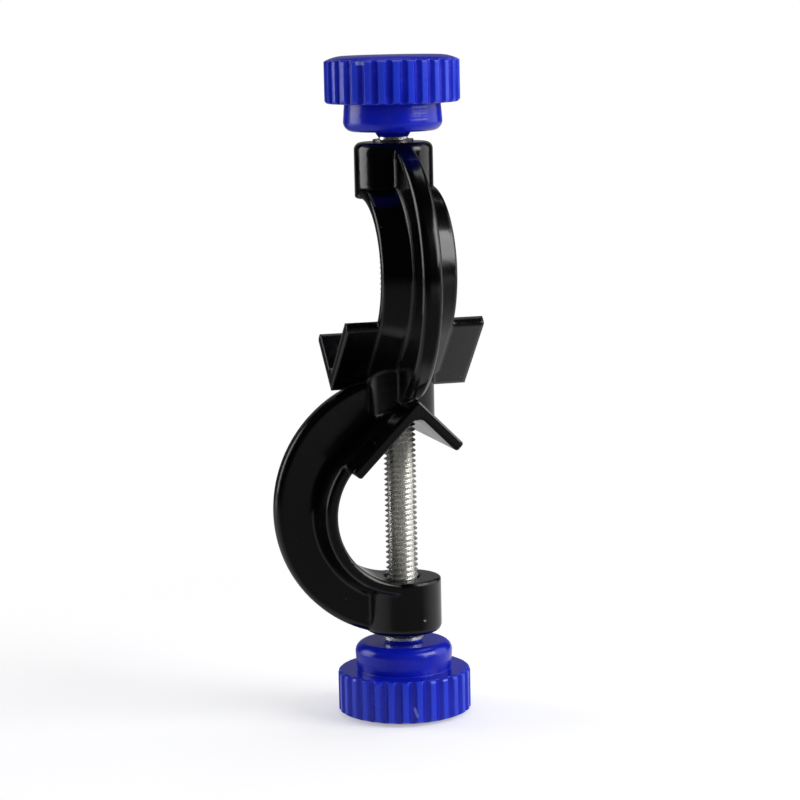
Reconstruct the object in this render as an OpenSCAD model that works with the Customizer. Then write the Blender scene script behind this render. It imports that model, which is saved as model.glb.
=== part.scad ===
// Boss head clamp: a one-piece casting with two C-shaped jaws at right angles, each closed by a
// thumbscrew with a fluted plastic knob. It stands upright on its lower knob.
//
// Frame: the screws share the Z axis and the lower knob's end face is at z = 0. The lower jaw lies
// in the XZ plane and opens toward +X. The upper jaw is the same shape turned over about the
// horizontal diagonal x = y at mid height, so it lies in the YZ plane and opens toward +Y.

/* [Knobs] */
// Diameter of each knob over its flutes
knob_d = 20.2; // [19:0.1:24]
// Height of the fluted ring
ring_h = 7; // [5:0.1:9]
// Number of flutes round the ring
flute_n = 29; // [20:1:32]
// Radius of the round-bottomed flutes
flute_r = 0.7; // [0.55:0.05:0.8]
// Depth of the flutes
flute_depth = 0.5; // [0.3:0.05:0.6]
// Width of the crowned border round the end face
crown_w = 3; // [1:0.1:3.5]
// Radius of that crown, seen in section
crown_r = 6; // [4:0.5:10]
// Rounding of the ring's edge on the neck's side
ring_round = 0.6; // [0.2:0.1:1]
// Diameter of the neck where it leaves the ring
neck_d = 14.4; // [12:0.1:16]
// Diameter of the neck at its widest
neck_flare_d = 14.8; // [14:0.1:16.5]
// Height of the neck above the ring
neck_h = 4.2; // [3:0.1:6]
// Rounding of the neck's end
neck_round = 1.5; // [0.5:0.1:2]
// Diameter of the hub at its foot
hub_d = 5.6; // [5.3:0.05:6]
// Diameter of the hub's tip round the shank
hub_tip_d = 4.5; // [4.45:0.05:4.8]
// Height of the hub
hub_h = 0.85; // [0.5:0.05:1.5]

/* [Screws] */
// Outside diameter of the thread (M5, as rolled)
thread_d = 4.9; // [4.7:0.05:4.95]
// Diameter of the plain shank between the thread and the head
shank_d = 4.4; // [4:0.05:4.4]
// Width across the flats of the head moulded into the knob
head_af = 8; // [7:0.1:9]
// Height of that head
head_h = 3.5; // [2.5:0.1:4]
// Thickness of plastic that covers the head
head_cover = 3; // [2:0.1:4]
// Chamfer on the screw's tip
tip_chamfer = 0.5; // [0.2:0.05:0.8]
// Gap between the tip and the seat when the screw is fully in
tip_gap = 0.2; // [0.1:0.05:1]
// Length of plain shank inside the boss when the screw is fully in
shank_lead = 1; // [0.5:0.1:3]

/* [Washers] */
// Outside diameter of the washers
washer_d = 6.1; // [5.9:0.05:8]
// Hole through the washers
washer_hole_d = 5.1; // [5.05:0.05:5.25]
// Thickness of the washers
washer_t = 0.4; // [0.2:0.05:0.6]
// Play between the dropped washer and the cone of the hub that it rests on
washer_play = 0.02; // [0.01:0.01:0.1]

/* [Bosses] */
// Gap between a knob's hub and the boss when the screw is fully in
hub_gap = 0.75; // [0.65:0.05:2]
// Diameter of the bosses
boss_d = 11.8; // [10:0.1:14]
// Length of the bosses
boss_l = 8.3; // [6:0.1:12]
// Rounding of the boss's outer rim
boss_round = 1.1; // [0.3:0.1:1.5]
// Rounding of the boss's rim inside the jaw
boss_inner_round = 0.4; // [0.1:0.05:0.5]
// Fillet between the bosses and the web
boss_fillet = 0.8; // [0.5:0.1:1]
// Radial clearance between the thread and the tapped bore
bore_clearance = 0.05; // [0.02:0.01:0.08]
// Countersink at the bore's mouth inside the jaw
bore_chamfer = 0.4; // [0.1:0.05:0.8]

/* [Jaws] */
// Opening of a jaw along the screw, from the boss to the root of the seat
jaw_h = 26.3; // [22:0.1:34]
// Distance of the jaw's arc centre behind the screw axis
jaw_offset = 0.6; // [0:0.1:2]
// Width of the flange that lines the jaw
flange_w = 11.4; // [8:0.1:11.6]
// Thickness of that flange at its edges
flange_t = 1.9; // [1.9:0.1:2.6]
// Thickness of that flange at the web
flange_root_t = 3; // [2.7:0.1:4]
// Rounding of the flange's edges
flange_round = 0.6; // [0.2:0.05:0.8]
// Distance of the flange's end from the root of the seat, along the seat's slope
flange_stop = 1.5; // [1:0.1:4]
// Thickness of the web behind the flange
web_t = 3; // [2:0.1:4]
// Distance of the web's arc centre in front of the screw axis
web_offset = 0.25; // [0:0.05:1.5]
// Distance of the web's end from the end of the seat that it runs to
web_lead = 1.9; // [1:0.1:4]
// Rounding of the web's outer edges
web_round = 0.9; // [0.2:0.05:0.95]
// Fillet between the web and the flange
web_fillet = 0.6; // [0.3:0.1:1.2]

/* [Seats] */
// Slope of each leg of the seats, from the plane across the screw
seat_angle = 45; // [42:0.5:48]
// Length of the seats along their groove
seat_w = 21; // [18:0.1:26]
// Thickness of the seat plates
seat_t = 1.6; // [1.3:0.05:1.8]
// Length of the leg on the jaw's side, along its inner face
long_leg = 12.8; // [12:0.1:16]
// Length of the free leg, along its inner face
short_leg = 8.2; // [7.9:0.1:12]
// Rounding of the free edges of the legs
leg_round = 0.45; // [0.2:0.05:0.6]
// Fillet at the root of the groove
root_fillet = 1.6; // [0.5:0.1:2.2]
// Distance between the two roots, back to back
root_gap = 5.2; // [5.1:0.1:9]
// Diameter of the core that joins the backs of the seats
core_d = 10.8; // [8:0.1:11]

/* [Hidden] */
$fn = 96;

casting_colour = [0.07, 0.07, 0.08];
knob_colour = [0.1, 0.15, 0.75];
steel_colour = [0.75, 0.75, 0.72];

// Heights along the lower half, from the end face of its knob
neck_z = ring_h + neck_h;
hub_z = neck_z + hub_h;
boss_z = hub_z + hub_gap;
face_z = boss_z + boss_l;
root_z = face_z + jaw_h;
overall_h = 2 * root_z + root_gap;

// Screw and bore
thread_r = thread_d / 2;
bore_r = thread_r + bore_clearance;
tip_z = root_z - (thread_r - tip_chamfer) * tan(seat_angle) - tip_gap;
thread_z = boss_z + shank_lead;

// The jaw's inner arc touches the long leg and the plane of the boss's face
boss_r = boss_d / 2;
core_r = core_d / 2;
jaw_r = (jaw_h * cos(seat_angle) - jaw_offset * sin(seat_angle)) / (1 + cos(seat_angle));
jaw_x = -jaw_offset;
jaw_z = face_z + jaw_r;
leg_normal = [-sin(seat_angle), cos(seat_angle)];
touch = [jaw_x, jaw_z] + jaw_r * leg_normal;
straight_l = norm(touch - [0, root_z]) - flange_stop;

// The web's outer arc runs from the boss's outer rim to the back of the other seat
ridge_z = overall_h - root_z - seat_t / cos(seat_angle);
web_foot = [-boss_r, boss_z + boss_round / 2];
web_head = [web_lead - seat_w / 2, ridge_z];
web_z = (pow(web_head.x - web_offset, 2) - pow(web_foot.x - web_offset, 2)
         + pow(web_head.y, 2) - pow(web_foot.y, 2)) / (2 * (web_head.y - web_foot.y));
web_r = norm(web_foot - [web_offset, web_z]);
least_cover = 0.3;
web_top = min(ridge_z + web_t / 2 * tan(seat_angle), overall_h - root_z - least_cover);

// Slope of the flange's back, from its edges up to the web
slope_w = flange_w / 2 - flange_round - web_t / 2;
flange_slope = atan((flange_root_t - flange_t) / slope_w);

// The dropped washer rests where the hub's cone is as wide as its hole
washer_seat = hub_h * (hub_d - washer_hole_d) / (hub_d - hub_tip_d) + washer_play;

// Overlap of pieces that merge, and overshoot of cuts past the faces that they open
bite = 1;
// Well past the casting on every side
beyond = 60;

// The lower half's pieces turned over into the upper half's place
module turned_over() {
    translate([0, 0, overall_h]) rotate([180, 0, 90]) children();
}

// A drawing in the XZ plane made solid across Y, w wide and centred
module across(w) {
    rotate([90, 0, 0]) linear_extrude(w, center = true) children();
}

module rounded_rectangle(w, h, r) {
    square([w - 2 * r, h], center = true);
    square([w, h - 2 * r], center = true);
    for (sx = [-1, 1], sy = [-1, 1])
        translate([sx * (w / 2 - r), sy * (h / 2 - r)]) circle(r);
}

// ---- Casting ----

// Section of the flange with its fillets to the web, at the given distance from the arc's centre
module flange_section(radius) {
    edge = [flange_t / 2, web_t / 2 + slope_w];
    turn = [web_fillet * (1 - sin(flange_slope)) / cos(flange_slope), web_fillet];
    centre = [flange_root_t - flange_t / 2, web_t / 2] + turn;
    fillet_end = centre - web_fillet * [cos(flange_slope), sin(flange_slope)];
    translate([radius + flange_t / 2, 0]) {
        rounded_rectangle(flange_t, flange_w, flange_round);
        difference() {
            polygon([[0, -edge.y], [edge.x, -edge.y], [fillet_end.x, -fillet_end.y],
                     [centre.x, -centre.y], centre, fillet_end, edge, [0, edge.y]]);
            for (s = [-1, 1]) translate([centre.x, s * centre.y]) circle(web_fillet);
        }
    }
}

module flange() {
    translate([jaw_x, 0, jaw_z]) rotate([90, 0, 0]) rotate(90 + seat_angle)
        rotate_extrude(angle = 180 - seat_angle) flange_section(jaw_r);
    translate([touch.x, 0, touch.y]) rotate([90, 0, 0]) rotate(90 + seat_angle)
        rotate([90, 0, 0]) linear_extrude(straight_l) flange_section(0);
}

// What the web leaves open: the jaw, the screw's side and the other seat's groove
module web_limits() {
    translate([jaw_x, jaw_z]) circle(jaw_r + flange_t / 2);
    polygon([[0, root_z + flange_t / 2 / cos(seat_angle)], touch + flange_t / 2 * leg_normal,
             [jaw_x, jaw_z], [0, jaw_z]]);
    translate([0, -beyond]) square([beyond, 3 * beyond]);
    translate([bite - boss_r, -beyond]) square([beyond, beyond + jaw_z]);
    translate([-beyond, web_top]) square([2 * beyond, beyond]);
}

module web() {
    difference() {
        translate([web_offset, 0, web_z]) rotate([90, 0, 0]) rotate_extrude() {
            translate([0, -web_t / 2]) square([web_r - web_round, web_t]);
            translate([0, web_round - web_t / 2]) square([web_r, web_t - 2 * web_round]);
            for (s = [-1, 1])
                translate([web_r - web_round, s * (web_t / 2 - web_round)]) circle(web_round);
        }
        across(2 * web_t) web_limits();
    }
}

// A point of the seat's section: side 1 or -1, distance along the leg, distance out of its inner face
function on_leg(side, along, out) =
    [side * (along * cos(seat_angle) + out * sin(seat_angle)),
     out * cos(seat_angle) - along * sin(seat_angle)];

// Rounded end of a leg, drawn along +X with its inner face on the X axis
module leg_end(length) {
    translate([length - seat_t, seat_t / 2]) rounded_rectangle(2 * seat_t, seat_t, leg_round);
}

// Section of the seat across its groove, with the root of the groove at the origin
module seat_section() {
    peak = seat_t / cos(seat_angle);
    short_cut = short_leg - 2 * leg_round;
    long_cut = long_leg - 2 * leg_round;
    polygon([[0, 0], on_leg(1, short_cut, 0), on_leg(1, short_cut, seat_t), [0, peak],
             on_leg(-1, long_cut, seat_t), on_leg(-1, long_cut, 0)]);
    rotate(-seat_angle) leg_end(short_leg);
    mirror([1, 0]) rotate(-seat_angle) leg_end(long_leg);
    // Fillet at the root
    difference() {
        polygon([[0, peak / 2], on_leg(1, root_fillet * tan(seat_angle), 0),
                 on_leg(-1, root_fillet * tan(seat_angle), 0)]);
        translate([0, -root_fillet / cos(seat_angle)]) circle(root_fillet);
    }
}

module seat() {
    translate([0, 0, root_z]) across(seat_w) seat_section();
}

module boss() {
    translate([0, 0, boss_z]) rotate_extrude() {
        square([boss_r - boss_round, boss_l]);
        translate([0, boss_round]) square([boss_r, boss_l - boss_round - boss_inner_round]);
        translate([boss_r - boss_round, boss_round]) circle(boss_round);
        translate([0, boss_round])
            square([boss_r - boss_inner_round, boss_l - boss_round]);
        translate([boss_r - boss_inner_round, boss_l - boss_inner_round]) circle(boss_inner_round);
    }
}

// Fillets between the boss and the sides of the web, which die out short of the web's edges
module boss_fillets() {
    side = web_t / 2 + boss_fillet;
    centre = [-sqrt(pow(boss_r + boss_fillet, 2) - pow(side, 2)), side];
    foot_z = boss_z + boss_round;
    reach = web_r - web_round - boss_fillet;
    intersection() {
        translate([0, 0, foot_z]) linear_extrude(face_z - flange_t / 2 - foot_z)
            for (s = [0, 1]) mirror([0, s]) difference() {
                polygon([[centre.x, 0], centre, centre * boss_r / (boss_r + boss_fillet), [0, 0]]);
                translate(centre) circle(boss_fillet);
            }
        translate([web_offset, 0, web_z]) rotate([90, 0, 0])
            cylinder(boss_d, reach, reach, center = true);
    }
}

module half_casting() {
    boss();
    boss_fillets();
    flange();
    web();
    seat();
}

// The groove of the lower seat, up to the middle of its plates
module seat_groove() {
    peak_z = root_z + seat_t / 2 / cos(seat_angle);
    foot_z = peak_z - beyond * tan(seat_angle);
    across(2 * beyond) polygon([[0, peak_z], [-beyond, foot_z], [beyond, foot_z]]);
}

module core() {
    reach = core_r * tan(seat_angle) + bite;
    difference() {
        translate([0, 0, root_z - reach]) cylinder(root_gap + 2 * reach, core_r, core_r);
        seat_groove();
        turned_over() seat_groove();
    }
}

module bore() {
    mouth_r = bore_r + bore_chamfer;
    translate([0, 0, boss_z - bite]) cylinder(boss_l + 2 * bite, bore_r, bore_r);
    translate([0, 0, face_z - bore_chamfer]) cylinder(bore_chamfer, bore_r, mouth_r);
    translate([0, 0, face_z]) cylinder(flange_t, mouth_r, mouth_r);
}

module casting() {
    color(casting_colour) difference() {
        union() {
            half_casting();
            turned_over() half_casting();
            core();
        }
        bore();
        turned_over() bore();
    }
}

// ---- Thumbscrews ----

// The screw's plain part: the head moulded into the knob and the shank
module screw_end() {
    translate([0, 0, head_cover])
        cylinder(head_h, head_af / sqrt(3), head_af / sqrt(3), $fn = 6);
    translate([0, 0, head_cover]) cylinder(thread_z - head_cover, shank_d / 2, shank_d / 2);
}

module screw() {
    color(steel_colour) {
        screw_end();
        translate([0, 0, thread_z])
            cylinder(tip_z - tip_chamfer - thread_z, thread_r, thread_r);
        translate([0, 0, tip_z - tip_chamfer])
            cylinder(tip_chamfer, thread_r, thread_r - tip_chamfer);
    }
}

// Half section of the knob
module knob_section() {
    flat_r = knob_d / 2 - crown_w;
    square([flat_r, ring_h]);
    intersection() {
        union() {
            translate([flat_r, crown_r]) circle(crown_r);
            translate([flat_r, crown_r]) square([crown_w, beyond]);
        }
        union() {
            square([knob_d / 2, ring_h - ring_round]);
            square([knob_d / 2 - ring_round, ring_h]);
            translate([knob_d / 2 - ring_round, ring_h - ring_round]) circle(ring_round);
        }
    }
    polygon([[0, ring_h - bite], [neck_d / 2, ring_h - bite], [neck_d / 2, ring_h],
             [neck_flare_d / 2, neck_z - neck_round],
             [neck_flare_d / 2 - neck_round, neck_z - neck_round],
             [neck_flare_d / 2 - neck_round, neck_z], [hub_d / 2, neck_z],
             [hub_tip_d / 2, hub_z], [0, hub_z]]);
    translate([neck_flare_d / 2 - neck_round, neck_z - neck_round]) circle(neck_round);
}

module knob() {
    color(knob_colour) difference() {
        rotate_extrude() knob_section();
        for (i = [0 : flute_n - 1])
            rotate(360 / flute_n * i) translate([knob_d / 2 - flute_depth + flute_r, 0, -bite])
                cylinder(ring_h + 2 * bite, flute_r, flute_r, $fn = 24);
        screw_end();
    }
}

module washer(z) {
    color(steel_colour) translate([0, 0, z]) rotate_extrude()
        translate([washer_hole_d / 2, 0]) square([(washer_d - washer_hole_d) / 2, washer_t]);
}

casting();
screw();  // lower_screw
turned_over() screw();  // upper_screw
knob();  // lower_knob
turned_over() knob();  // upper_knob
// The lower washer has dropped onto its knob's hub; the upper one lies on its boss
washer(neck_z + washer_seat);  // lower_washer
washer(overall_h - boss_z);  // upper_washer
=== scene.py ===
"""Boss head clamp: finishes, threaded screws and studio.

The casting, knobs and washers keep the shapes of the frame and get their finishes here. The screws
get their rolled threads. The clamp stands upright on its lower knob.
"""

import math
from collections import namedtuple

import bmesh
import bpy
from bpy.props import FloatProperty, FloatVectorProperty, IntProperty, PointerProperty
from mathutils import Matrix, Vector


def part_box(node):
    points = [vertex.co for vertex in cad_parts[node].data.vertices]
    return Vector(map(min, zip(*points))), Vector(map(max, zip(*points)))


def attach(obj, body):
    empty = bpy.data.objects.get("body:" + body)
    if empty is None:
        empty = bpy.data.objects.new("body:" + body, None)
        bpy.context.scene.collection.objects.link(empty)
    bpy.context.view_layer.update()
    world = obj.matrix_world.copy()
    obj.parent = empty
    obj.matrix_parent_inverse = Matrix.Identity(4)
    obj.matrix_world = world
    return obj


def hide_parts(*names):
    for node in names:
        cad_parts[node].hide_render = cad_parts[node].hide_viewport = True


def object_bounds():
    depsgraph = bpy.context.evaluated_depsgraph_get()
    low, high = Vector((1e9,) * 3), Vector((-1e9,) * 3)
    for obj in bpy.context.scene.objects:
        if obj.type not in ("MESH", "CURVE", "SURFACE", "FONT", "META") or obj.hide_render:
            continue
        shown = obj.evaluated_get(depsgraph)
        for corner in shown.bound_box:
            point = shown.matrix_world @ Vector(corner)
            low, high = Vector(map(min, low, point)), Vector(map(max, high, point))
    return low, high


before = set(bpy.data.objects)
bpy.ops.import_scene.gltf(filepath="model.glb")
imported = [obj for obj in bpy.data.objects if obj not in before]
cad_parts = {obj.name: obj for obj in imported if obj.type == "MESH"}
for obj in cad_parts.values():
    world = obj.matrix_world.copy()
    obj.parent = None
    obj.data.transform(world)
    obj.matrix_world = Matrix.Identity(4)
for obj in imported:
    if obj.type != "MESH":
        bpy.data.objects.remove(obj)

bl_info = {
    "name": "Boss Head Clamp",
    "version": (1, 0, 0),
    "blender": (4, 5, 0),
    "location": "View3D > Sidebar > Boss Head",
    "description": "Finishes a boss head clamp and lights it in a pale studio",
    "category": "Object",
}

CAD_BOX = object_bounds()
MM = 0.001
# Corners of a mesh that lie closer together than this are one
WELD = 0.001 * MM
HEIGHT = CAD_BOX[1].z
BOSS_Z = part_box("casting")[0].z
HEAD_Z, TIP_Z = (corner.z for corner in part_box("lower_screw"))
# The lower half turned over into the upper half's place
TURNED_OVER = Matrix(((0, 1, 0, 0), (1, 0, 0, 0), (0, 0, -1, HEIGHT), (0, 0, 0, 1)))
# Turn from +X to the level direction in which the viewer stands, in degrees
VIEWER = -106.2
WHITE = (1, 1, 1, 1)
FLOAT, VECTOR = "NodeSocketFloat", "NodeSocketVector"


def mm(*sizes):
    """Sizes in millimetres, in metres."""
    return tuple(size * MM for size in sizes)


# ---- Shader nodes ----


def fill_inputs(tree, node, inputs):
    """Sets or links inputs of a node, given by name or index."""
    for name, value in inputs.items():
        if isinstance(value, bpy.types.NodeSocket):
            tree.links.new(value, node.inputs[name])
        else:
            node.inputs[name].default_value = value


def add_node(tree, kind, inputs=None, **settings):
    """Adds a shader node with its settings and inputs."""
    node = tree.nodes.new("ShaderNode" + kind)
    for name, value in settings.items():
        setattr(node, name, value)
    fill_inputs(tree, node, inputs or {})
    return node


def maths(tree, operation, first, second):
    """Output of a Math node."""
    return add_node(tree, "Math", {0: first, 1: second}, operation=operation).outputs[0]


def length(tree, vector):
    """Length of a vector."""
    return add_node(tree, "VectorMath", {0: vector}, operation="LENGTH").outputs["Value"]


def dot(tree, first, second):
    """Dot product of two vectors."""
    node = add_node(tree, "VectorMath", {0: first, 1: second}, operation="DOT_PRODUCT")
    return node.outputs["Value"]


def remap(tree, value, low, high, to_low=0.0, to_high=1.0):
    """Smooth Map Range of a value."""
    return add_node(
        tree,
        "MapRange",
        {"Value": value, "From Min": low, "From Max": high, "To Min": to_low, "To Max": to_high},
        interpolation_type="SMOOTHSTEP",
    ).outputs["Result"]


def choose(tree, factor, first, second):
    """Mix of two values."""
    return add_node(tree, "Mix", {0: factor, 2: first, 3: second}).outputs[0]


def mix_colours(tree, factor, first, second):
    """Mix of two colours."""
    node = add_node(tree, "Mix", {0: factor, 6: first, 7: second}, data_type="RGBA")
    return node.outputs[2]


def shade(rgb, factor=1.0):
    """Colour for a socket, made darker or lighter by a factor."""
    return (*(factor * channel for channel in rgb), 1.0)


def noise(tree, where, scale, detail):
    """Soft noise over the places given."""
    node = add_node(tree, "TexNoise", {"Vector": where, "Scale": scale, "Detail": detail})
    return node.outputs["Fac"]


def object_coords(tree):
    """Place on the piece, in metres."""
    return add_node(tree, "TexCoord").outputs["Object"]


def radius_at(tree):
    """Distance from the axis of the screws."""
    level = add_node(
        tree, "VectorMath", {0: object_coords(tree), 1: (1, 1, 0)}, operation="MULTIPLY"
    )
    return length(tree, level.outputs[0])


def rounded(tree, radius):
    """Normal of the surface as if its edges and creases had a radius."""
    return add_node(tree, "Bevel", {"Radius": radius}, samples=8).outputs[0]


# ---- Effects that the materials share ----


def new_group(name, output, kind, inputs, build):
    """Node group with inputs of the given names and defaults, filled by a function."""
    group = bpy.data.node_groups.new(name, "ShaderNodeTree")
    for label, default in inputs.items():
        label_kind = VECTOR if isinstance(default, tuple) else FLOAT
        socket = group.interface.new_socket(name=label, in_out="INPUT", socket_type=label_kind)
        socket.default_value = default
    group.interface.new_socket(name=output, in_out="OUTPUT", socket_type=kind)
    source, sink = group.nodes.new("NodeGroupInput"), group.nodes.new("NodeGroupOutput")
    group.links.new(build(group, source.outputs), sink.inputs[output])
    return group


def effect(name, output, kind=FLOAT, **inputs):
    """Makes a node group of a function that adds nodes, built once and shared by the materials.

    The function becomes one that places the group in a material with the material's own values.
    """

    def share(build):
        def place(tree, **values):
            group = bpy.data.node_groups.get(name)
            group = group or new_group(name, output, kind, inputs, build)
            return add_node(tree, "Group", values, node_tree=group).outputs[output]

        return place

    return share


@effect("Patches", "Level", Scale=200.0, Detail=3.0)
def patches(tree, given):
    """Level of a finish that is a little uneven."""
    return noise(tree, object_coords(tree), given["Scale"], given["Detail"])


@effect("Surface Ripple", "Height", Size=1.0 * MM, Grain=0.2)
def ripple(tree, given):
    """Height of a skin that isn't quite flat: paint that has flowed, or moulded plastic."""
    scale = maths(tree, "DIVIDE", 1.0, given["Size"])
    where = add_node(
        tree, "VectorMath", {0: object_coords(tree), "Scale": scale}, operation="SCALE"
    ).outputs[0]
    broad, fine = noise(tree, where, 1.0, 1.0), noise(tree, where, 7.0, 2.0)
    return maths(tree, "ADD", broad, maths(tree, "MULTIPLY", fine, given["Grain"]))


@effect("Flow Lines", "Height", Spacing=1.0 * MM)
def flow_lines(tree, given):
    """Height of the faint rings that the mould leaves round the axis, the same at every angle."""
    height = add_node(tree, "SeparateXYZ", {0: object_coords(tree)}).outputs["Z"]
    along = maths(tree, "SUBTRACT", height, radius_at(tree))
    scale = maths(tree, "DIVIDE", 1.0, given["Spacing"])
    rings = add_node(
        tree, "TexNoise", {"W": along, "Scale": scale, "Detail": 1.0}, noise_dimensions="1D"
    )
    return rings.outputs["Fac"]


@effect("Fine Specks", "Mask", Spacing=1.0 * MM, Size=0.1, Share=0.2)
def specks(tree, given):
    """Mask of scattered fine specks, such as dust."""
    scale = maths(tree, "DIVIDE", 1.0, given["Spacing"])
    cells = add_node(tree, "TexVoronoi", {"Vector": object_coords(tree), "Scale": scale})
    # Each cell's own chance of a speck, and the size of the speck
    chance, size, _ = add_node(tree, "SeparateColor", {"Color": cells.outputs["Color"]}).outputs
    chosen = maths(tree, "LESS_THAN", chance, given["Share"])
    reach = maths(tree, "MULTIPLY", size, given["Size"])
    inside = maths(tree, "LESS_THAN", cells.outputs["Distance"], reach)
    return maths(tree, "MULTIPLY", chosen, inside)


@effect(
    "Single Mark", "Mask", Centre=(0, 0, 0), Turn=(0, 0, 0), Reach=mm(1, 1, 1), Raggedness=0.5
)
def mark(tree, given):
    """Mask of one ragged mark at a place on the piece, such as a nick or a scuff."""
    where = add_node(
        tree,
        "Mapping",
        {
            "Vector": object_coords(tree),
            "Location": given["Centre"],
            "Rotation": given["Turn"],
            "Scale": given["Reach"],
        },
        vector_type="TEXTURE",
    ).outputs[0]
    ragged = maths(tree, "MULTIPLY", noise(tree, where, 2.5, 3.0), given["Raggedness"])
    return remap(tree, maths(tree, "ADD", length(tree, where), ragged), 1.05, 0.85)


@effect("Fine Scratches", "Mask", Spacing=0.5 * MM, Share=0.3)
def scratches(tree, given):
    """Mask of fine, broken scratches that run across the X direction."""
    drawn = add_node(
        tree, "Mapping", {"Vector": object_coords(tree), "Scale": (1.0, 0.04, 0.04)}
    ).outputs[0]
    scale = maths(tree, "DIVIDE", 1.0, given["Spacing"])
    lines = add_node(
        tree, "TexNoise", {"Vector": drawn, "Scale": scale, "Detail": 3.0, "Roughness": 0.7}
    ).outputs["Fac"]
    level = maths(tree, "SUBTRACT", 0.75, given["Share"])
    return remap(tree, maths(tree, "SUBTRACT", lines, level), 0.0, 0.08)


@effect("Radius Mask", "Mask", Zero=0.0, Full=1.0 * MM)
def radius_mask(tree, given):
    """Mask that goes from nothing at one radius round the axis to full at another."""
    return remap(tree, radius_at(tree), given["Zero"], given["Full"])


@effect("Edge Strips", "Mask", Radius=0.3 * MM)
def edge_strips(tree, given):
    """Mask of the strips along edges that are sharper than a radius."""
    plain = add_node(tree, "NewGeometry").outputs["Normal"]
    return remap(tree, dot(tree, rounded(tree, given["Radius"]), plain), 0.995, 0.9)


@effect(
    "Soft Edges",
    "Normal",
    VECTOR,
    Radius=0.2 * MM,
    Height=0.0,
    Distance=0.05 * MM,
    Strength=0.4,
)
def soft_edges(tree, given):
    """Normal of a surface with rounded edges and a relief."""
    relief = {name: given[name] for name in ("Height", "Distance", "Strength")}
    relief["Normal"] = rounded(tree, given["Radius"])
    return add_node(tree, "Bump", relief).outputs[0]


# ---- Settings ----


class CastingSettings(bpy.types.PropertyGroup):
    """The casting's paint"""

    paint: FloatVectorProperty(
        name="Paint",
        description="Colour of the casting's gloss paint",
        default=(0.0008, 0.0008, 0.0009),
        subtype="COLOR",
        min=0,
        max=1,
    )
    dust: FloatVectorProperty(
        name="Dust",
        description="Colour of the dust and grit on the paint",
        default=(0.35, 0.34, 0.32),
        subtype="COLOR",
        min=0,
        max=1,
    )
    gloss: FloatProperty(
        name="Roughness", description="Roughness of the paint", default=0.16, min=0, max=1
    )
    edge: FloatProperty(
        name="Edge Radius",
        description="Radius that the paint gives to the casting's edges and creases",
        default=0.8 * MM,
        unit="LENGTH",
    )


class KnobSettings(bpy.types.PropertyGroup):
    """The knobs' plastic"""

    plastic: FloatVectorProperty(
        name="Plastic",
        description="Colour of the moulded knobs",
        default=(0.003, 0.011, 0.48),
        subtype="COLOR",
        min=0,
        max=1,
    )
    # Colour of the painted highlight on the ridges of the flutes and on the edges
    pale: FloatVectorProperty(
        name="Pale Edges",
        description="Colour of the plastic along the ridges of the flutes and the edges",
        default=(0.014, 0.042, 0.68),
        subtype="COLOR",
        min=0,
        max=1,
    )
    bruise: FloatVectorProperty(
        name="Bruise",
        description="Colour of the plastic where it is nicked or scratched",
        default=(0.33, 0.36, 0.80),
        subtype="COLOR",
        min=0,
        max=1,
    )
    gloss: FloatProperty(
        name="Roughness", description="Roughness of the plastic", default=0.22, min=0, max=1
    )
    edge: FloatProperty(
        name="Edge Radius",
        description="Radius of the moulding's edges",
        default=0.22 * MM,
        unit="LENGTH",
    )
    # Depth under the rim of the painted highlight on the ridges
    ridge: FloatProperty(
        name="Ridge Depth",
        description="Depth under the rim over which the ridges of the flutes turn pale",
        default=0.45 * MM,
        unit="LENGTH",
    )


class ScrewSettings(bpy.types.PropertyGroup):
    """Sizes of the screws, the same as those of the plain screws in the frame, and of the thread"""

    thread_d: FloatProperty(
        name="Thread", description="Outside diameter of the thread", default=4.9 * MM, unit="LENGTH"
    )
    pitch: FloatProperty(
        name="Pitch",
        description="Travel of the thread in one turn",
        default=0.8 * MM,
        unit="LENGTH",
    )
    depth: FloatProperty(
        name="Depth", description="Depth of the thread", default=0.49 * MM, unit="LENGTH"
    )
    shank_d: FloatProperty(
        name="Shank", description="Diameter of the plain shank", default=4.4 * MM, unit="LENGTH"
    )
    shank_lead: FloatProperty(
        name="Shank in the Boss",
        description="Length of plain shank inside the boss when the screw is fully in",
        default=1.0 * MM,
        unit="LENGTH",
    )
    head_af: FloatProperty(
        name="Head", description="Width across the flats of the head", default=8 * MM, unit="LENGTH"
    )
    head_h: FloatProperty(
        name="Head Height", description="Height of the head", default=3.5 * MM, unit="LENGTH"
    )
    tip_chamfer: FloatProperty(
        name="Tip Chamfer", description="Chamfer on the tip", default=0.5 * MM, unit="LENGTH"
    )
    steps: IntProperty(
        name="Steps", description="Faces round one turn of the thread", default=48, min=12, max=96
    )


class PlatingSettings(bpy.types.PropertyGroup):
    """The plating of the screws and washers, and the shade painted on it"""

    steel: FloatVectorProperty(
        name="Steel",
        description="Colour of the plated steel",
        default=(0.95, 0.94, 0.90),
        subtype="COLOR",
        min=0,
        max=1,
    )
    # Painted shade: a darker colour at the roots of the thread and round the lower washer's hole,
    # where they lie in shade
    painted_shade: FloatVectorProperty(
        name="Root Shade",
        description="Colour of the oil and dirt at the bottom of the thread",
        default=(0.78, 0.77, 0.71),
        subtype="COLOR",
        min=0,
        max=1,
    )
    # Painted shade: the upper washer is bright steel, painted near black towards its rim where it
    # lies in shadow under the boss
    washer_shade: FloatVectorProperty(
        name="Shadow",
        description="Colour of the dark grime round the upper washer",
        default=(0.05, 0.05, 0.05),
        subtype="COLOR",
        min=0,
        max=1,
    )


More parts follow.
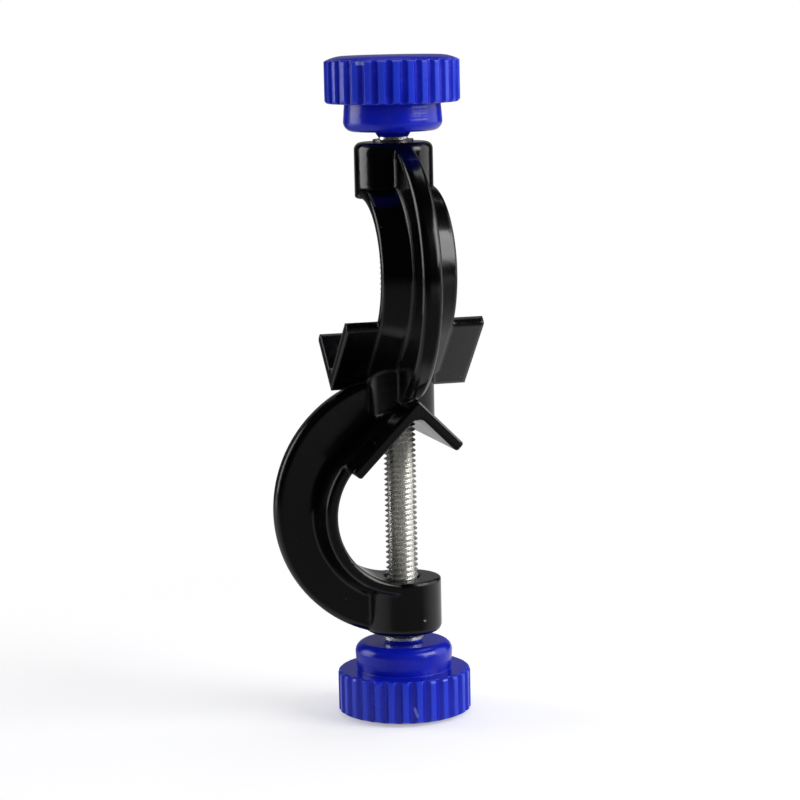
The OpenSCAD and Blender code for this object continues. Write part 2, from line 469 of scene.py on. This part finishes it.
class StageSettings(bpy.types.PropertyGroup):
    """The floor and the lights"""

    floor: FloatVectorProperty(
        name="Floor",
        description="Colour of the floor",
        default=(0.80, 0.80, 0.82),
        subtype="COLOR",
        min=0,
        max=1,
    )
    floor_r: FloatProperty(
        name="Floor Radius", description="Radius of the floor", default=4.0, unit="LENGTH"
    )
    floor_glow: FloatProperty(
        name="Floor Glow",
        description="Light added to the floor as the camera sees it, up to white",
        default=0.39,
        min=0,
    )
    ambient: FloatProperty(
        name="Ambient", description="Strength of the light from all round", default=0.15, min=0
    )
    left_power: FloatProperty(
        name="Left Panel", description="Power of the panel on the left", default=0.95, min=0
    )
    right_power: FloatProperty(
        name="Right Panel", description="Power of the panel on the right", default=0.65, min=0
    )
    soft_power: FloatProperty(
        name="Right Softbox",
        description="Power of the bright softbox on the right",
        default=1.7,
        min=0,
    )
    top_power: FloatProperty(
        name="Top Light", description="Power of the light overhead", default=0.8, min=0
    )
    front_power: FloatProperty(
        name="Front Fill", description="Power of the fill light by the camera", default=0.55, min=0
    )


# ---- Finishes ----


def new_material(name):
    """Material with a Principled shader; returns the material, its tree and the shader."""
    material = bpy.data.materials.new(name)
    material.use_nodes = True
    tree = material.node_tree
    return material, tree, tree.nodes["Principled BSDF"]


def gloss_paint(settings):
    """Black gloss paint on a die casting, with a little flow in the skin, grit and dust."""
    material, tree, shader = new_material("Gloss Black Paint")
    level = patches(tree, Scale=160.0, Detail=3.0)
    grit = specks(tree, Spacing=1.05 * MM, Size=0.09, Share=0.08)
    lint = mark(tree, Centre=mm(-17.9, -2.2, 36.6), Reach=mm(0.25, 0.3, 0.25))
    scuff = mark(
        tree,
        Centre=mm(1.8, -5.6, 15.2),
        Reach=mm(0.5, 0.5, 0.28),
        Turn=(0, 0.5, 0),
        Raggedness=0.9,
    )
    pale = maths(tree, "MAXIMUM", maths(tree, "MAXIMUM", grit, lint), scuff)
    thin, thick = shade(settings.paint), shade(settings.paint, 1.9)
    paint = mix_colours(tree, remap(tree, level, 0.35, 0.7), thin, thick)
    dusted = mix_colours(tree, maths(tree, "MULTIPLY", pale, 0.55), paint, shade(settings.dust))
    rough = remap(tree, level, 0.3, 0.75, settings.gloss - 0.03, settings.gloss + 0.05)
    skin = ripple(tree, Size=1.1 * MM, Grain=0.02)
    fill_inputs(
        tree,
        shader,
        {
            "Base Color": dusted,
            "Roughness": maths(tree, "ADD", rough, maths(tree, "MULTIPLY", pale, 0.4)),
            "IOR": 1.5,
            "Normal": soft_edges(
                tree, Radius=settings.edge, Height=skin, Distance=0.04 * MM, Strength=0.35
            ),
        },
    )
    return material


def moulded_plastic(settings, name, rim_r, marks):
    """Satin plastic with a painted highlight, a paler colour on its edges and on the ridges at its
    rim, and with the marks given.
    """
    material, tree, shader = new_material(name)
    level = patches(tree, Scale=220.0, Detail=2.0)
    dark, bright = shade(settings.plastic, 0.88), shade(settings.plastic, 1.1)
    plastic = mix_colours(tree, remap(tree, level, 0.3, 0.7), dark, bright)
    # Painted highlight: the ridges at the rim and the strips along the edges turn to the pale
    # colour, as if they caught the light
    ridges = radius_mask(tree, Zero=rim_r - settings.ridge, Full=rim_r)
    strips = maths(tree, "MULTIPLY", edge_strips(tree, Radius=0.3 * MM), 0.5)
    wear_and_highlight = maths(tree, "MAXIMUM", ridges, strips)
    plastic = mix_colours(tree, wear_and_highlight, plastic, shade(settings.pale))
    bruises = specks(tree, Spacing=1.6 * MM, Size=0.05, Share=0.12)
    for given in marks:
        bruises = maths(tree, "MAXIMUM", bruises, mark(tree, **given))
    faint = maths(tree, "MULTIPLY", bruises, 0.7)
    lines = maths(tree, "MULTIPLY", flow_lines(tree, Spacing=0.8 * MM), 2.2)
    skin = maths(tree, "ADD", lines, ripple(tree, Size=0.8 * MM, Grain=0.1))
    cut = maths(tree, "SUBTRACT", skin, bruises)
    fill_inputs(
        tree,
        shader,
        {
            "Base Color": mix_colours(tree, faint, plastic, shade(settings.bruise)),
            "Roughness": remap(
                tree, level, 0.25, 0.75, settings.gloss - 0.05, settings.gloss + 0.06
            ),
            "IOR": 1.48,
            "Normal": soft_edges(
                tree, Radius=settings.edge, Height=cut, Distance=0.05 * MM, Strength=0.4
            ),
        },
    )
    return material


def plated_steel(settings, name, painted_shade, unshaded_r, shaded_r):
    """Bright plated steel with painted shade, unshaded at one radius and fully shaded at another.
    """
    material, tree, shader = new_material(name)
    level = patches(tree, Scale=420.0, Detail=4.0)
    dull, bright = shade(settings.steel, 0.86), shade(settings.steel)
    steel = mix_colours(tree, remap(tree, level, 0.3, 0.7), dull, bright)
    # Painted shade: the colour darkens between the two radii, a little unevenly
    deep = radius_mask(tree, Zero=unshaded_r, Full=shaded_r)
    shade_mask = maths(tree, "MULTIPLY", deep, remap(tree, level, 0.25, 0.6, 0.45, 1.0))
    rough = remap(tree, level, 0.25, 0.75, 0.20, 0.31)
    wear_and_highlight = maths(tree, "MULTIPLY", scratches(tree, Spacing=0.12 * MM, Share=0.22), 0.15)
    skin = ripple(tree, Size=0.35 * MM, Grain=0.4)
    fill_inputs(
        tree,
        shader,
        {
            "Base Color": mix_colours(tree, shade_mask, steel, shade(painted_shade)),
            # The dull film on the plating scatters a little of the light
            "Metallic": 0.82,
            "Roughness": maths(tree, "ADD", rough, wear_and_highlight),
            "Normal": soft_edges(
                tree, Radius=0.05 * MM, Height=skin, Distance=0.012 * MM, Strength=0.5
            ),
        },
    )
    return material


def finish_node(name, material):
    """Gives a piece of the frame its finish."""
    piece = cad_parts[name]
    piece.data.materials.clear()
    piece.data.materials.append(material)


# ---- Threaded screws ----


def thread_turn(mesh, settings):
    """One pitch of the thread's outline at angle 0, from the middle of a root to the next root."""
    crest_r = settings.thread_d / 2
    root_r = crest_r - settings.depth
    round_off = settings.depth / 8
    # Share of the pitch and radius, from the root up to the crest, and down again the same way
    flank = (
        (0.0, root_r),
        (0.07, root_r + round_off / 3),
        (0.12, root_r + round_off),
        (0.42, crest_r - round_off),
        (0.46, crest_r - round_off / 3),
    )
    outline = (*flank, (0.5, crest_r), *((1 - share, r) for share, r in reversed(flank)))
    corners = [mesh.verts.new((r, 0, share * settings.pitch)) for share, r in outline]
    return corners + [mesh.edges.new(pair) for pair in zip(corners, corners[1:])]


def cut_across(mesh, height, keep_above):
    """Cuts the mesh level at a height and keeps one side."""
    bmesh.ops.bisect_plane(
        mesh,
        geom=mesh.verts[:] + mesh.edges[:] + mesh.faces[:],
        plane_co=(0, 0, height),
        plane_no=(0, 0, 1),
        clear_inner=keep_above,
        clear_outer=not keep_above,
    )


def rim(mesh, height):
    """Open edges that lie at a height."""
    return [
        e
        for e in mesh.edges
        if e.is_boundary and all(abs(v.co.z - height) < 2 * WELD for v in e.verts)
    ]


def extend(mesh, edges, height):
    """Draws an open rim along the axis to a height and returns the new rim's corners."""
    made = bmesh.ops.extrude_edge_only(mesh, edges=edges)["geom"]
    corners = [item for item in made if isinstance(item, bmesh.types.BMVert)]
    for corner in corners:
        corner.co.z = height
    return corners


def set_radius(corners, new_radius):
    """Moves each corner out or in to new_radius(angle, height, radius)."""
    for corner in corners:
        radius = corner.co.xy.length
        if radius > 0:
            angle = math.atan2(corner.co.y, corner.co.x)
            corner.co.xy *= new_radius(angle, corner.co.z, radius) / radius


def screw_mesh(settings):
    """The lower screw, from its head inside the knob to its tip."""
    thread_z = BOSS_Z + settings.shank_lead
    crest_r, shank_r = settings.thread_d / 2, settings.shank_d / 2
    head_top = HEAD_Z + settings.head_h
    mesh = bmesh.new()
    bmesh.ops.spin(
        mesh,
        geom=thread_turn(mesh, settings),
        cent=(0, 0, 0),
        axis=(0, 0, 1),
        dvec=(0, 0, settings.pitch / settings.steps),
        angle=2 * math.pi,
        steps=settings.steps,
        use_duplicate=False,
    )
    one_turn = mesh.verts[:] + mesh.edges[:] + mesh.faces[:]
    turns = math.ceil((TIP_Z - thread_z) / settings.pitch) + 2
    for i in range(1, turns):
        copied = bmesh.ops.duplicate(mesh, geom=one_turn)["geom"]
        corners = [item for item in copied if isinstance(item, bmesh.types.BMVert)]
        bmesh.ops.translate(mesh, verts=corners, vec=(0, 0, i * settings.pitch))
    bmesh.ops.remove_doubles(mesh, verts=mesh.verts[:], dist=WELD)
    bmesh.ops.translate(mesh, verts=mesh.verts[:], vec=(0, 0, thread_z - settings.pitch))
    cut_across(mesh, thread_z, True)
    cut_across(mesh, TIP_Z, False)

    # The thread runs out into the shank over one turn, and is chamfered at the tip
    def run_out(angle, z, radius):
        share = min((z - thread_z) / settings.pitch, 1.0)
        radius = shank_r + (radius - shank_r) * share * share * (3 - 2 * share)
        return min(radius, crest_r - max(z - TIP_Z + settings.tip_chamfer, 0))

    def hexagon(angle, z, radius):
        return settings.head_af / 2 / math.cos(angle % (math.pi / 3) - math.pi / 6)

    set_radius(mesh.verts, run_out)
    corners = extend(mesh, rim(mesh, thread_z), head_top)
    corners = extend(mesh, rim(mesh, head_top), head_top)
    set_radius(corners, hexagon)
    loop = [e for e in mesh.edges if e.is_boundary and all(v in corners for v in e.verts)]
    extend(mesh, loop, HEAD_Z)
    bmesh.ops.holes_fill(mesh, edges=rim(mesh, HEAD_Z) + rim(mesh, TIP_Z), sides=0)
    bmesh.ops.recalc_face_normals(mesh, faces=mesh.faces[:])
    return mesh


def add_piece(name, mesh, material):
    """Object from a finished mesh, smooth over its gentle edges."""
    data = bpy.data.meshes.new(name)
    mesh.to_mesh(data)
    mesh.free()
    for face in data.polygons:
        face.use_smooth = True
    data.set_sharp_from_angle(angle=math.radians(50))
    data.materials.append(material)
    piece = bpy.data.objects.new(name, data)
    bpy.context.scene.collection.objects.link(piece)
    return piece


# ---- Operators ----


class BOSSHEAD_OT_casting(bpy.types.Operator):
    """Paint the casting gloss black"""

    bl_idname = "bosshead.casting"
    bl_label = "Paint the Casting"

    def execute(self, context):
        finish_node("casting", gloss_paint(context.scene.bosshead_casting))
        return {"FINISHED"}


class BOSSHEAD_OT_knobs(bpy.types.Operator):
    """Give both knobs their moulded plastic, with the nick and the scratch that they carry"""

    bl_idname = "bosshead.knobs"
    bl_label = "Finish the Knobs"

    def execute(self, context):
        settings = context.scene.bosshead_knob
        nick = {"Centre": mm(-6.9, -7.2, 99.0), "Reach": mm(1.2, 1.2, 0.6), "Raggedness": 0.8}
        scratch = {
            "Centre": mm(-1.1, -9.8, 2.2),
            "Reach": mm(0.4, 0.8, 1.5),
            "Turn": (0, -0.25, 0),
            "Raggedness": 0.8,
        }
        for half, marks in (("Upper", [nick]), ("Lower", [scratch])):
            node = half.lower() + "_knob"
            rim_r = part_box(node)[1].x
            finish_node(node, moulded_plastic(settings, half + " Knob Plastic", rim_r, marks))
        return {"FINISHED"}


class BOSSHEAD_OT_screws(bpy.types.Operator):
    """Make the two screws with their rolled threads and put them in the place of the plain ones"""

    bl_idname = "bosshead.screws"
    bl_label = "Make the Threaded Screws"

    def execute(self, context):
        settings, plating = context.scene.bosshead_screw, context.scene.bosshead_plating
        crest_r = settings.thread_d / 2
        root_r = crest_r - settings.depth
        # Painted shade darkens the thread towards its roots
        steel = plated_steel(plating, "Plated Thread", plating.painted_shade, crest_r, root_r)
        lower = screw_mesh(settings)
        upper = lower.copy()
        bmesh.ops.transform(upper, matrix=TURNED_OVER, verts=upper.verts[:])
        for half, mesh in (("lower", lower), ("upper", upper)):
            piece = add_piece(half + "_threaded_screw", mesh, steel)
            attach(piece, half + "_clamp")
            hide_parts(half + "_screw")
        return {"FINISHED"}


class BOSSHEAD_OT_washers(bpy.types.Operator):
    """Finish the two washers in plated steel"""

    bl_idname = "bosshead.washers"
    bl_label = "Finish the Washers"

    def execute(self, context):
        settings = context.scene.bosshead_plating
        rim_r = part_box("lower_washer")[1].x
        # The lower washer gets painted shade towards its hole, next to the screw
        bright = plated_steel(settings, "Plated Washer", settings.painted_shade, 0.9 * rim_r, 0.8 * rim_r)
        # The upper washer gets painted shade, near black and full at its rim
        shaded_washer = plated_steel(settings, "Shaded Washer", settings.washer_shade, 0.8 * rim_r, rim_r)
        finish_node("lower_washer", bright)
        finish_node("upper_washer", shaded_washer)
        return {"FINISHED"}


class BOSSHEAD_OT_stage(bpy.types.Operator):
    """Set up the pale floor, the soft lights and the camera"""

    bl_idname = "bosshead.stage"
    bl_label = "Set Up the Studio"

    def execute(self, context):
        settings = context.scene.bosshead_stage
        add_floor(settings)
        set_world(settings)
        # Degrees to the right and up, distance and size in metres, and power
        add_light("Left Panel", -101, 16, 0.5, (0.30, 0.32), settings.left_power)
        add_light("Right Panel", 104, 18, 0.5, (0.40, 0.40), settings.right_power)
        add_light("Right Softbox", 67, 26, 0.5, (0.34, 0.27), settings.soft_power)
        add_light("Top Light", 180, 68, 0.6, (0.6, 0.3), settings.top_power)
        fill = add_light("Front Fill", -2, 22, 0.65, (0.6, 0.6), settings.front_power)
        # The front stays dark in reflections
        fill.visible_glossy = False
        add_camera(context.scene)
        context.scene.view_settings.view_transform = "Standard"
        return {"FINISHED"}


# ---- Studio ----


# Brightness that the clamp mirrors from one side: how far to the viewer's right its middle lies, in
# degrees, the cosines of the angle to the middle at which it starts and is full, and its strength
Glow = namedtuple("Glow", "right start full strength")
BACKDROP = (Glow(180, 0.8, 0.94, 0.2),)
FLOOR_NEAR = (Glow(135, -0.1, 1.0, 0.75), Glow(-85, 0.3, 1.0, 0.5))
FLOOR_FAR = (Glow(110, -0.2, 0.6, 0.55), Glow(-103, 0.8, 1.0, 1.3))


def outwards(right, up=0.0):
    """Direction away from the clamp, given as degrees to the right of the viewer and up."""
    level, height = math.radians(VIEWER + right), math.radians(up)
    return Vector(
        (math.cos(level) * math.cos(height), math.sin(level) * math.cos(height), math.sin(height))
    )


def brightest(tree, direction, glows, least):
    """Strength of the strongest glow in a direction, or the least strength where all are weaker."""
    result = least
    for glow in glows:
        agree = dot(tree, direction, outwards(glow.right))
        risen = remap(tree, agree, glow.start, glow.full)
        strength = maths(tree, "MULTIPLY", risen, glow.strength)
        result = maths(tree, "MAXIMUM", result, strength)
    return result


def mirrored_floor(tree, where, distance):
    """Strength of the floor as the clamp mirrors it."""
    spread = add_node(tree, "VectorMath", {0: where}, operation="NORMALIZE").outputs[0]
    near = brightest(tree, spread, FLOOR_NEAR, 0.15)
    far = brightest(tree, spread, FLOOR_FAR, 0.04)
    backdrop = brightest(tree, spread, BACKDROP, 0.0)
    # From under the knob outwards, each stretch turns into the next between two distances
    strength = 0.5
    for start, end, further in ((0.022, 0.034, near), (0.12, 0.4, far), (0.5, 0.9, backdrop)):
        strength = choose(tree, remap(tree, distance, start, end), strength, further)
    return strength


def pale_floor(settings):
    """Floor that shows the clamp's shadow close by and turns to plain white further out."""
    material, tree, shader = new_material("Pale Floor")
    fill_inputs(
        tree,
        shader,
        {"Base Color": shade(settings.floor), "Roughness": 0.8, "Specular IOR Level": 0.1},
    )
    where = object_coords(tree)
    distance = length(tree, where)

    def emission(strength):
        return add_node(tree, "Emission", {"Color": WHITE, "Strength": strength}).outputs[0]

    def mixed(factor, first, second):
        return add_node(tree, "MixShader", {0: factor, 1: first, 2: second}).outputs[0]

    glow = emission(settings.floor_glow)
    near = add_node(tree, "AddShader", {0: shader.outputs[0], 1: glow}).outputs[0]
    seen = mixed(remap(tree, distance, 0.05, 0.14), near, emission(1.0))
    ways = add_node(tree, "LightPath").outputs
    mirrored = emission(mirrored_floor(tree, where, distance))
    hidden = mixed(ways["Is Glossy Ray"], shader.outputs[0], mirrored)
    surface = mixed(ways["Is Camera Ray"], hidden, seen)
    fill_inputs(tree, tree.nodes["Material Output"], {"Surface": surface})
    return material


def add_floor(settings):
    """Round floor under the clamp."""
    mesh = bmesh.new()
    bmesh.ops.create_circle(mesh, cap_ends=True, segments=96, radius=settings.floor_r)
    data = bpy.data.meshes.new("Floor")
    mesh.to_mesh(data)
    mesh.free()
    data.materials.append(pale_floor(settings))
    floor = bpy.data.objects.new("Floor", data)
    bpy.context.scene.collection.objects.link(floor)


def set_world(settings):
    """White behind the clamp, an even light from all round, and in reflections a dim backdrop."""
    world = bpy.data.worlds.new("Studio")
    world.use_nodes = True
    bpy.context.scene.world = world
    tree = world.node_tree
    ways = add_node(tree, "LightPath").outputs
    direction = add_node(tree, "TexCoord").outputs["Generated"]
    mirrored = brightest(tree, direction, BACKDROP, 0.01)
    shown = maths(tree, "MAXIMUM", ways["Is Camera Ray"], ways["Is Transmission Ray"])
    hidden = choose(tree, ways["Is Glossy Ray"], settings.ambient, mirrored)
    strength = choose(tree, shown, hidden, 1.0)
    fill_inputs(tree, tree.nodes["Background"], {"Color": WHITE, "Strength": strength})


def add_light(name, right, up, distance, size, power):
    """Rectangular soft light that faces the middle of the clamp from a direction in degrees."""
    away = outwards(right, up)
    data = bpy.data.lights.new(name, "AREA")
    data.shape = "RECTANGLE"
    data.size, data.size_y = size
    data.energy = power
    light = bpy.data.objects.new(name, data)
    light.location = Vector((0, 0, HEIGHT / 2)) + distance * away
    light.rotation_mode = "QUATERNION"
    light.rotation_quaternion = (-away).to_track_quat("-Z", "Y")
    bpy.context.scene.collection.objects.link(light)
    return light


def add_camera(scene):
    """Camera that looks a little down at the clamp from its front left."""
    azimuth, pitch, roll = math.radians(-16.186), math.radians(8.327), math.radians(-1.206)
    data = bpy.data.cameras.new("Camera")
    data.sensor_width = 36
    data.lens = 121.09
    data.clip_start, data.clip_end = 0.01, 20
    camera = bpy.data.objects.new("Camera", data)
    camera.location = (-0.1119, -0.3863, 0.10714)
    turn = Matrix.Rotation(azimuth, 3, "Z") @ Matrix.Rotation(math.pi / 2 - pitch, 3, "X")
    camera.rotation_mode = "QUATERNION"
    camera.rotation_quaternion = (turn @ Matrix.Rotation(roll, 3, "Z")).to_quaternion()
    scene.collection.objects.link(camera)
    scene.camera = camera


class BOSSHEAD_PT_panel(bpy.types.Panel):
    """Lists the clamp's pieces, sizes and colours"""

    bl_idname = "BOSSHEAD_PT_panel"
    bl_label = "Boss Head Clamp"
    bl_space_type = "VIEW_3D"
    bl_region_type = "UI"
    bl_category = "Boss Head"

    def draw(self, context):
        for operator, settings in STEPS:
            box = self.layout.box()
            box.operator(operator.bl_idname)
            group = getattr(context.scene, settings)
            for name in group.__annotations__:
                box.prop(group, name)


# Each operator and the settings that the panel shows with it, in the order that they run
STEPS = (
    (BOSSHEAD_OT_casting, "bosshead_casting"),
    (BOSSHEAD_OT_knobs, "bosshead_knob"),
    (BOSSHEAD_OT_screws, "bosshead_screw"),
    (BOSSHEAD_OT_washers, "bosshead_plating"),
    (BOSSHEAD_OT_stage, "bosshead_stage"),
)
SETTINGS = {
    "bosshead_casting": CastingSettings,
    "bosshead_knob": KnobSettings,
    "bosshead_screw": ScrewSettings,
    "bosshead_plating": PlatingSettings,
    "bosshead_stage": StageSettings,
}
CLASSES = (*SETTINGS.values(), *(operator for operator, _ in STEPS), BOSSHEAD_PT_panel)


def register():
    for cls in CLASSES:
        bpy.utils.register_class(cls)
    for name, group in SETTINGS.items():
        setattr(bpy.types.Scene, name, PointerProperty(type=group))


def unregister():
    for name in SETTINGS:
        delattr(bpy.types.Scene, name)
    for cls in reversed(CLASSES):
        bpy.utils.unregister_class(cls)


def main():
    """Builds the whole scene."""
    register()
    for operator, _ in STEPS:
        module, name = operator.bl_idname.split(".")
        getattr(getattr(bpy.ops, module), name)()


if __name__ == "__main__":
    main()
